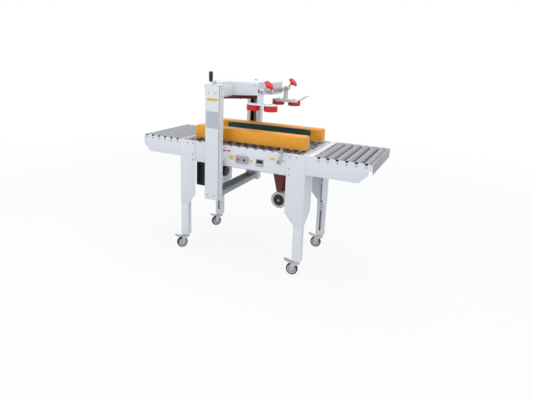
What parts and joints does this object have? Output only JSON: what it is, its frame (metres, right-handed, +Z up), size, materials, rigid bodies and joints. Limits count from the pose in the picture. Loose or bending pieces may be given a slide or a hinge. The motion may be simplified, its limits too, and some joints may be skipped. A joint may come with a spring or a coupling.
{
  "type": "side-belt carton sealer",
  "caption": "Side-belt carton sealer on castered legs: roller tables, sliding belt drives, lower tape head and a lifting head with press rollers.",
  "frame": {"origin": "on the floor, under the middle of the bounding box", "axes": "+X the way cartons travel, -Y the operator side, +Z up"},
  "size_m": [1.645, 0.654, 1.271],
  "materials": {
    "white_paint": "powder coat, satin",
    "orange_paint": "powder coat, satin",
    "grey_paint": "satin paint",
    "maroon_paint": "satin paint",
    "black_paint": "satin paint",
    "roller_steel": "zinc plated, satin",
    "zinc_plate": "zinc plated",
    "black_tyre": "matte rubber on a grey plastic hub",
    "black_plastic": "moulded, matte",
    "red_plastic": "moulded, satin",
    "green_belt": "woven-faced belt, matte",
    "tape_film": "glossy film on a black core"
  },
  "bodies": {
    "root": {"base_frame": "white_paint", "bed_rollers_front": "roller_steel", "bed_rollers_rear": "roller_steel", "infeed_table": "white_paint", "outfeed_table": "white_paint", "leg_bracket_front_left": "white_paint", "leg_bracket_front_right": "white_paint", "leg_bracket_rear_left": "white_paint", "leg_bracket_rear_right": "white_paint", "column_front": "white_paint", "column_rear": "white_paint", "lower_crossbar": "grey_paint", "lower_tape_head": "maroon_paint", "switch_box": "grey_paint"},
    "leg_front_left": {"leg_front_left": "white_paint"},
    "caster_front_left": {"caster_fork_front_left": "zinc_plate"},
    "wheel_front_left": {"caster_wheel_front_left": "black_tyre"},
    "leg_front_right": {"leg_front_right": "white_paint"},
    "caster_front_right": {"caster_fork_front_right": "zinc_plate"},
    "wheel_front_right": {"caster_wheel_front_right": "black_tyre"},
    "leg_rear_left": {"leg_rear_left": "white_paint"},
    "caster_rear_left": {"caster_fork_rear_left": "zinc_plate"},
    "wheel_rear_left": {"caster_wheel_rear_left": "black_tyre"},
    "leg_rear_right": {"leg_rear_right": "white_paint"},
    "caster_rear_right": {"caster_fork_rear_right": "zinc_plate"},
    "wheel_rear_right": {"caster_wheel_rear_right": "black_tyre"},
    "infeed_roller_1": {"infeed_roller_1": "roller_steel"},
    "outfeed_roller_1": {"outfeed_roller_1": "roller_steel"},
    "infeed_roller_2": {"infeed_roller_2": "roller_steel"},
    "outfeed_roller_2": {"outfeed_roller_2": "roller_steel"},
    "infeed_roller_3": {"infeed_roller_3": "roller_steel"},
    "outfeed_roller_3": {"outfeed_roller_3": "roller_steel"},
    "infeed_roller_4": {"infeed_roller_4": "roller_steel"},
    "outfeed_roller_4": {"outfeed_roller_4": "roller_steel"},
    "infeed_roller_5": {"infeed_roller_5": "roller_steel"},
    "outfeed_roller_5": {"outfeed_roller_5": "roller_steel"},
    "infeed_roller_6": {"infeed_roller_6": "roller_steel"},
    "outfeed_roller_6": {"outfeed_roller_6": "roller_steel"},
    "head": {"head_carrier": "white_paint", "upper_tape_head": "maroon_paint", "press_rod": "roller_steel"},
    "lift_crank": {"lift_crank": "black_plastic"},
    "lift_screw_rear": {"lift_screw_rear": "zinc_plate"},
    "press_bracket_front": {"press_bracket_front": "white_paint"},
    "press_roller_front_infeed": {"press_roller_front_infeed": "red_plastic"},
    "press_roller_front_outfeed": {"press_roller_front_outfeed": "red_plastic"},
    "clamp_knob_front": {"clamp_knob_front": "red_plastic"},
    "press_bracket_rear": {"press_bracket_rear": "white_paint"},
    "press_roller_rear_infeed": {"press_roller_rear_infeed": "red_plastic"},
    "press_roller_rear_outfeed": {"press_roller_rear_outfeed": "red_plastic"},
    "clamp_knob_rear": {"clamp_knob_rear": "red_plastic"},
    "belt_carriage_front": {"belt_housing_front": "orange_paint", "drive_belt_front": "green_belt", "drive_motor_front": "black_paint"},
    "belt_carriage_rear": {"belt_housing_rear": "orange_paint", "drive_belt_rear": "green_belt"},
    "width_crank": {"width_crank": "zinc_plate"},
    "lower_tape_roll": {"lower_tape_roll": "tape_film"},
    "stop_button": {"stop_button": "red_plastic"},
    "start_button": {"start_button": "black_plastic"}
  },
  "joints": [
    {"name": "leg_front_left_height", "type": "slide", "parent": "root", "child": "leg_front_left", "axis": [0, 0, 1], "range_m": [-0.06, 0.1]},
    {"name": "caster_front_left_swivel", "type": "hinge", "parent": "leg_front_left", "child": "caster_front_left", "pos_m": [-0.4702, -0.2367, 0.094], "axis": [0, 0, 1], "continuous": true},
    {"name": "wheel_front_left_roll", "type": "hinge", "parent": "caster_front_left", "child": "wheel_front_left", "pos_m": [-0.48867, -0.26034, 0.038], "axis": [-0.788, 0.6157, 0], "continuous": true},
    {"name": "leg_front_right_height", "type": "slide", "parent": "root", "child": "leg_front_right", "axis": [0, 0, 1], "range_m": [-0.06, 0.1]},
    {"name": "caster_front_right_swivel", "type": "hinge", "parent": "leg_front_right", "child": "caster_front_right", "pos_m": [0.3852, -0.2367, 0.094], "axis": [0, 0, 1], "continuous": true},
    {"name": "wheel_front_right_roll", "type": "hinge", "parent": "caster_front_right", "child": "wheel_front_right", "pos_m": [0.35549, -0.24088, 0.038], "axis": [-0.1392, 0.9903, 0], "continuous": true},
    {"name": "leg_rear_left_height", "type": "slide", "parent": "root", "child": "leg_rear_left", "axis": [0, 0, 1], "range_m": [-0.06, 0.1]},
    {"name": "caster_rear_left_swivel", "type": "hinge", "parent": "leg_rear_left", "child": "caster_rear_left", "pos_m": [-0.4702, 0.2367, 0.094], "axis": [0, 0, 1], "continuous": true},
    {"name": "wheel_rear_left_roll", "type": "hinge", "parent": "caster_rear_left", "child": "wheel_rear_left", "pos_m": [-0.49027, 0.21441, 0.038], "axis": [-0.7431, 0.6691, 0], "continuous": true},
    {"name": "leg_rear_right_height", "type": "slide", "parent": "root", "child": "leg_rear_right", "axis": [0, 0, 1], "range_m": [-0.06, 0.1]},
    {"name": "caster_rear_right_swivel", "type": "hinge", "parent": "leg_rear_right", "child": "caster_rear_right", "pos_m": [0.3852, 0.2367, 0.094], "axis": [0, 0, 1], "continuous": true},
    {"name": "wheel_rear_right_roll", "type": "hinge", "parent": "caster_rear_right", "child": "wheel_rear_right", "pos_m": [0.35536, 0.23356, 0.038], "axis": [-0.1045, 0.9945, 0], "continuous": true},
    {"name": "infeed_roller_1_spin", "type": "hinge", "parent": "root", "child": "infeed_roller_1", "pos_m": [-0.7985, 0, 0.776], "axis": [0, 1, 0], "continuous": true},
    {"name": "outfeed_roller_1_spin", "type": "hinge", "parent": "root", "child": "outfeed_roller_1", "pos_m": [0.4985, 0, 0.776], "axis": [0, 1, 0], "continuous": true},
    {"name": "infeed_roller_2_spin", "type": "hinge", "parent": "root", "child": "infeed_roller_2", "pos_m": [-0.7445, 0, 0.776], "axis": [0, 1, 0], "continuous": true},
    {"name": "outfeed_roller_2_spin", "type": "hinge", "parent": "root", "child": "outfeed_roller_2", "pos_m": [0.555, 0, 0.776], "axis": [0, 1, 0], "continuous": true},
    {"name": "infeed_roller_3_spin", "type": "hinge", "parent": "root", "child": "infeed_roller_3", "pos_m": [-0.6905, 0, 0.776], "axis": [0, 1, 0], "continuous": true},
    {"name": "outfeed_roller_3_spin", "type": "hinge", "parent": "root", "child": "outfeed_roller_3", "pos_m": [0.6115, 0, 0.776], "axis": [0, 1, 0], "continuous": true},
    {"name": "infeed_roller_4_spin", "type": "hinge", "parent": "root", "child": "infeed_roller_4", "pos_m": [-0.6365, 0, 0.776], "axis": [0, 1, 0], "continuous": true},
    {"name": "outfeed_roller_4_spin", "type": "hinge", "parent": "root", "child": "outfeed_roller_4", "pos_m": [0.668, 0, 0.776], "axis": [0, 1, 0], "continuous": true},
    {"name": "infeed_roller_5_spin", "type": "hinge", "parent": "root", "child": "infeed_roller_5", "pos_m": [-0.5825, 0, 0.776], "axis": [0, 1, 0], "continuous": true},
    {"name": "outfeed_roller_5_spin", "type": "hinge", "parent": "root", "child": "outfeed_roller_5", "pos_m": [0.7245, 0, 0.776], "axis": [0, 1, 0], "continuous": true},
    {"name": "infeed_roller_6_spin", "type": "hinge", "parent": "root", "child": "infeed_roller_6", "pos_m": [-0.5285, 0, 0.776], "axis": [0, 1, 0], "continuous": true},
    {"name": "outfeed_roller_6_spin", "type": "hinge", "parent": "root", "child": "outfeed_roller_6", "pos_m": [0.781, 0, 0.776], "axis": [0, 1, 0], "continuous": true},
    {"name": "head_lift", "type": "slide", "parent": "root", "child": "head", "axis": [0, 0, 1], "range_m": [-0.125, 0]},
    {"name": "lift_crank_turn", "type": "hinge", "parent": "root", "child": "lift_crank", "pos_m": [-0.2075, -0.297, 1.19], "axis": [0, 0, 1], "range_deg": [-4520, 20]},
    {"name": "lift_screw_rear_turn", "type": "hinge", "parent": "root", "child": "lift_screw_rear", "pos_m": [-0.2075, 0.297, 1.19], "axis": [0, 0, 1], "range_deg": [-4520, 20]},
    {"name": "press_bracket_front_slide", "type": "slide", "parent": "head", "child": "press_bracket_front", "axis": [0, 1, 0], "range_m": [-0.01, 0.09]},
    {"name": "press_roller_front_infeed_spin", "type": "hinge", "parent": "press_bracket_front", "child": "press_roller_front_infeed", "pos_m": [0.0005, -0.15, 1.046], "axis": [0, 0, 1], "continuous": true},
    {"name": "press_roller_front_outfeed_spin", "type": "hinge", "parent": "press_bracket_front", "child": "press_roller_front_outfeed", "pos_m": [0.1245, -0.15, 1.046], "axis": [0, 0, 1], "continuous": true},
    {"name": "clamp_knob_front_turn", "type": "hinge", "parent": "press_bracket_front", "child": "clamp_knob_front", "pos_m": [0.0625, -0.15, 1.15], "axis": [0.7071, 0, 0.7071], "range_deg": [-180, 180]},
    {"name": "press_bracket_rear_slide", "type": "slide", "parent": "head", "child": "press_bracket_rear", "axis": [0, 1, 0], "range_m": [-0.08, 0.02]},
    {"name": "press_roller_rear_infeed_spin", "type": "hinge", "parent": "press_bracket_rear", "child": "press_roller_rear_infeed", "pos_m": [0.0005, 0.262, 1.046], "axis": [0, 0, 1], "continuous": true},
    {"name": "press_roller_rear_outfeed_spin", "type": "hinge", "parent": "press_bracket_rear", "child": "press_roller_rear_outfeed", "pos_m": [0.1245, 0.262, 1.046], "axis": [0, 0, 1], "continuous": true},
    {"name": "clamp_knob_rear_turn", "type": "hinge", "parent": "press_bracket_rear", "child": "clamp_knob_rear", "pos_m": [0.0625, 0.262, 1.15], "axis": [0.7071, 0, 0.7071], "range_deg": [-180, 180]},
    {"name": "belt_front_width", "type": "slide", "parent": "root", "child": "belt_carriage_front", "axis": [0, 1, 0], "range_m": [-0.04, 0.045]},
    {"name": "belt_rear_width", "type": "slide", "parent": "root", "child": "belt_carriage_rear", "axis": [0, -1, 0], "range_m": [-0.04, 0.045]},
    {"name": "width_crank_turn", "type": "hinge", "parent": "root", "child": "width_crank", "pos_m": [0.2425, -0.257, 0.732], "axis": [0, 1, 0], "range_deg": [-1450, 1630]},
    {"name": "lower_tape_roll_spin", "type": "hinge", "parent": "root", "child": "lower_tape_roll", "pos_m": [0.1535, 0, 0.399], "axis": [0, 1, 0], "continuous": true},
    {"name": "stop_button_press", "type": "slide", "parent": "root", "child": "stop_button", "axis": [0, 1, 0], "range_m": [0, 0.003], "stiffness_N_per_m": 400},
    {"name": "start_button_press", "type": "slide", "parent": "root", "child": "start_button", "axis": [0, 1, 0], "range_m": [0, 0.003], "stiffness_N_per_m": 400}
  ],
  "couplings": [
    {"joint": "lift_crank_turn", "follows": "head_lift", "rad_per_m": 628.32},
    {"joint": "lift_screw_rear_turn", "follows": "head_lift", "rad_per_m": 628.32},
    {"joint": "belt_rear_width", "follows": "belt_front_width", "ratio": 1},
    {"joint": "width_crank_turn", "follows": "belt_front_width", "rad_per_m": 628.32}
  ]
}
